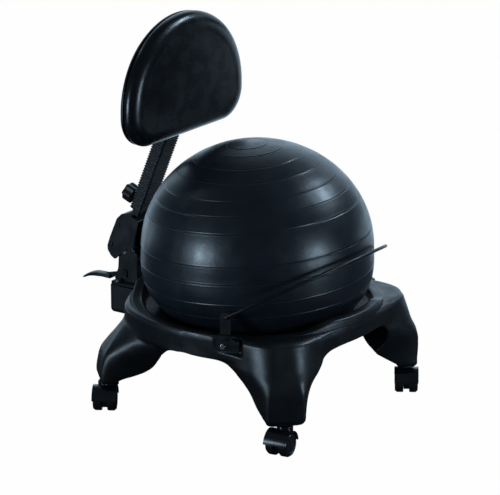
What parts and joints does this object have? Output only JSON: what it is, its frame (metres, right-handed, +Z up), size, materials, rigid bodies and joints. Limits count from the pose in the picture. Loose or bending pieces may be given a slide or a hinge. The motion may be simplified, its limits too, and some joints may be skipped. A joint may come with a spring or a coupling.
{
  "type": "balance ball chair",
  "caption": "Balance ball chair: air-filled ball held in a moulded base on twin-wheel casters by a wire bail, with a padded back support on a tilting, sliding post.",
  "frame": {"origin": "on the floor, under the ball's upright axis", "axes": "+Z up, -Y towards the front where the sitter faces, +X to the sitter's left"},
  "size_m": [0.5433, 0.7015, 0.8],
  "materials": {
    "base_plastic": "satin, moulded",
    "ball_rubber": "matte",
    "plug_plastic": "satin",
    "black_steel": "satin powder coat",
    "bright_steel": "zinc plated",
    "caster_plastic": "gloss",
    "wheel_plastic": "satin",
    "cap_rubber": "matte",
    "bellows_rubber": "matte",
    "cover_plastic": "fine grain",
    "vinyl": "smooth vinyl, semi-gloss",
    "board_wood": "bare plywood"
  },
  "bodies": {
    "base": {"base_shell": "base_plastic", "rear_mount_box": "base_plastic", "mounting_plate": "black_steel", "plate_bolts": "bright_steel", "neck_bracket": "black_steel", "tilt_pin": "bright_steel", "bail_clamp_left": "black_steel", "bail_clamp_right": "black_steel", "clamp_screws": "bright_steel", "clamp_studs": "bright_steel", "clamp_wing_knobs": "cover_plastic", "ball": "ball_rubber", "ball_plug": "plug_plastic", "caster_sockets": "bright_steel"},
    "bail": {"bail_wire": "black_steel", "bail_caps": "cap_rubber"},
    "lever": {"lever_pin": "bright_steel", "lever_cam": "bright_steel", "lever_arm": "black_steel", "lever_paddle": "cover_plastic"},
    "back_arm": {"tilt_bracket": "black_steel", "housing_cover_left": "cover_plastic", "housing_cover_right": "cover_plastic", "cover_screws": "bright_steel"},
    "back_slide": {"back_bar": "black_steel", "bar_collar": "cover_plastic", "post_bellows": "bellows_rubber", "backrest_shell": "cover_plastic", "backrest_board": "board_wood", "backrest_pad": "vinyl", "backrest_screws": "bright_steel"},
    "height_knob_body": {"height_knob": "cover_plastic", "knob_stud": "bright_steel"},
    "caster_front_right": {"caster_hood_front_right": "caster_plastic", "caster_stem_front_right": "bright_steel", "caster_axle_front_right": "bright_steel"},
    "wheel_front_right_left": {"caster_wheel_front_right_left": "wheel_plastic"},
    "wheel_front_right_right": {"caster_wheel_front_right_right": "wheel_plastic"},
    "caster_front_left": {"caster_hood_front_left": "caster_plastic", "caster_stem_front_left": "bright_steel", "caster_axle_front_left": "bright_steel"},
    "wheel_front_left_left": {"caster_wheel_front_left_left": "wheel_plastic"},
    "wheel_front_left_right": {"caster_wheel_front_left_right": "wheel_plastic"},
    "caster_rear_right": {"caster_hood_rear_right": "caster_plastic", "caster_stem_rear_right": "bright_steel", "caster_axle_rear_right": "bright_steel"},
    "wheel_rear_right_left": {"caster_wheel_rear_right_left": "wheel_plastic"},
    "wheel_rear_right_right": {"caster_wheel_rear_right_right": "wheel_plastic"},
    "caster_rear_left": {"caster_hood_rear_left": "caster_plastic", "caster_stem_rear_left": "bright_steel", "caster_axle_rear_left": "bright_steel"},
    "wheel_rear_left_left": {"caster_wheel_rear_left_left": "wheel_plastic"},
    "wheel_rear_left_right": {"caster_wheel_rear_left_right": "wheel_plastic"}
  },
  "joints": [
    {"name": "bail_swing", "type": "hinge", "parent": "base", "child": "bail", "pos_m": [0, -0.091, 0.26], "axis": [1, 0, 0], "range_deg": [-10, 38]},
    {"name": "lever_turn", "type": "hinge", "parent": "base", "child": "lever", "pos_m": [0, 0.326, 0.219], "axis": [1, 0, 0], "range_deg": [0, 20]},
    {"name": "back_tilt", "type": "hinge", "parent": "base", "child": "back_arm", "pos_m": [0, 0.325, 0.268], "axis": [-1, 0, 0], "range_deg": [-5, 10]},
    {"name": "back_height", "type": "slide", "parent": "back_arm", "child": "back_slide", "axis": [0, -0.3811, 0.9245], "range_m": [0, 0.06]},
    {"name": "height_knob_turn", "type": "hinge", "parent": "back_slide", "child": "height_knob_body", "pos_m": [0, 0.31918, 0.38824], "axis": [0, 0.9245, 0.3811], "continuous": true},
    {"name": "caster_swivel_front_right", "type": "hinge", "parent": "base", "child": "caster_front_right", "pos_m": [-0.225, -0.225, 0.07], "axis": [0, 0, 1], "continuous": true},
    {"name": "wheel_spin_front_right_left", "type": "hinge", "parent": "caster_front_right", "child": "wheel_front_right_left", "pos_m": [-0.24382, -0.22764, 0.025], "axis": [0.1392, -0.9903, 0], "continuous": true},
    {"name": "wheel_spin_front_right_right", "type": "hinge", "parent": "caster_front_right", "child": "wheel_front_right_right", "pos_m": [-0.24382, -0.22764, 0.025], "axis": [0.1392, -0.9903, 0], "continuous": true},
    {"name": "caster_swivel_front_left", "type": "hinge", "parent": "base", "child": "caster_front_left", "pos_m": [0.225, -0.225, 0.07], "axis": [0, 0, 1], "continuous": true},
    {"name": "wheel_spin_front_left_left", "type": "hinge", "parent": "caster_front_left", "child": "wheel_front_left_left", "pos_m": [0.20907, -0.23535, 0.025], "axis": [0.5446, -0.8387, 0], "continuous": true},
    {"name": "wheel_spin_front_left_right", "type": "hinge", "parent": "caster_front_left", "child": "wheel_front_left_right", "pos_m": [0.20907, -0.23535, 0.025], "axis": [0.5446, -0.8387, 0], "continuous": true},
    {"name": "caster_swivel_rear_right", "type": "hinge", "parent": "base", "child": "caster_rear_right", "pos_m": [-0.225, 0.225, 0.07], "axis": [0, 0, 1], "continuous": true},
    {"name": "wheel_spin_rear_right_left", "type": "hinge", "parent": "caster_rear_right", "child": "wheel_rear_right_left", "pos_m": [-0.24129, 0.21521, 0.025], "axis": [0.515, -0.8572, 0], "continuous": true},
    {"name": "wheel_spin_rear_right_right", "type": "hinge", "parent": "caster_rear_right", "child": "wheel_rear_right_right", "pos_m": [-0.24129, 0.21521, 0.025], "axis": [0.515, -0.8572, 0], "continuous": true},
    {"name": "caster_swivel_rear_left", "type": "hinge", "parent": "base", "child": "caster_rear_left", "pos_m": [0.225, 0.225, 0.07], "axis": [0, 0, 1], "continuous": true},
    {"name": "wheel_spin_rear_left_left", "type": "hinge", "parent": "caster_rear_left", "child": "wheel_rear_left_left", "pos_m": [0.20715, 0.2185, 0.025], "axis": [0.342, -0.9397, 0], "continuous": true},
    {"name": "wheel_spin_rear_left_right", "type": "hinge", "parent": "caster_rear_left", "child": "wheel_rear_left_right", "pos_m": [0.20715, 0.2185, 0.025], "axis": [0.342, -0.9397, 0], "continuous": true}
  ]
}
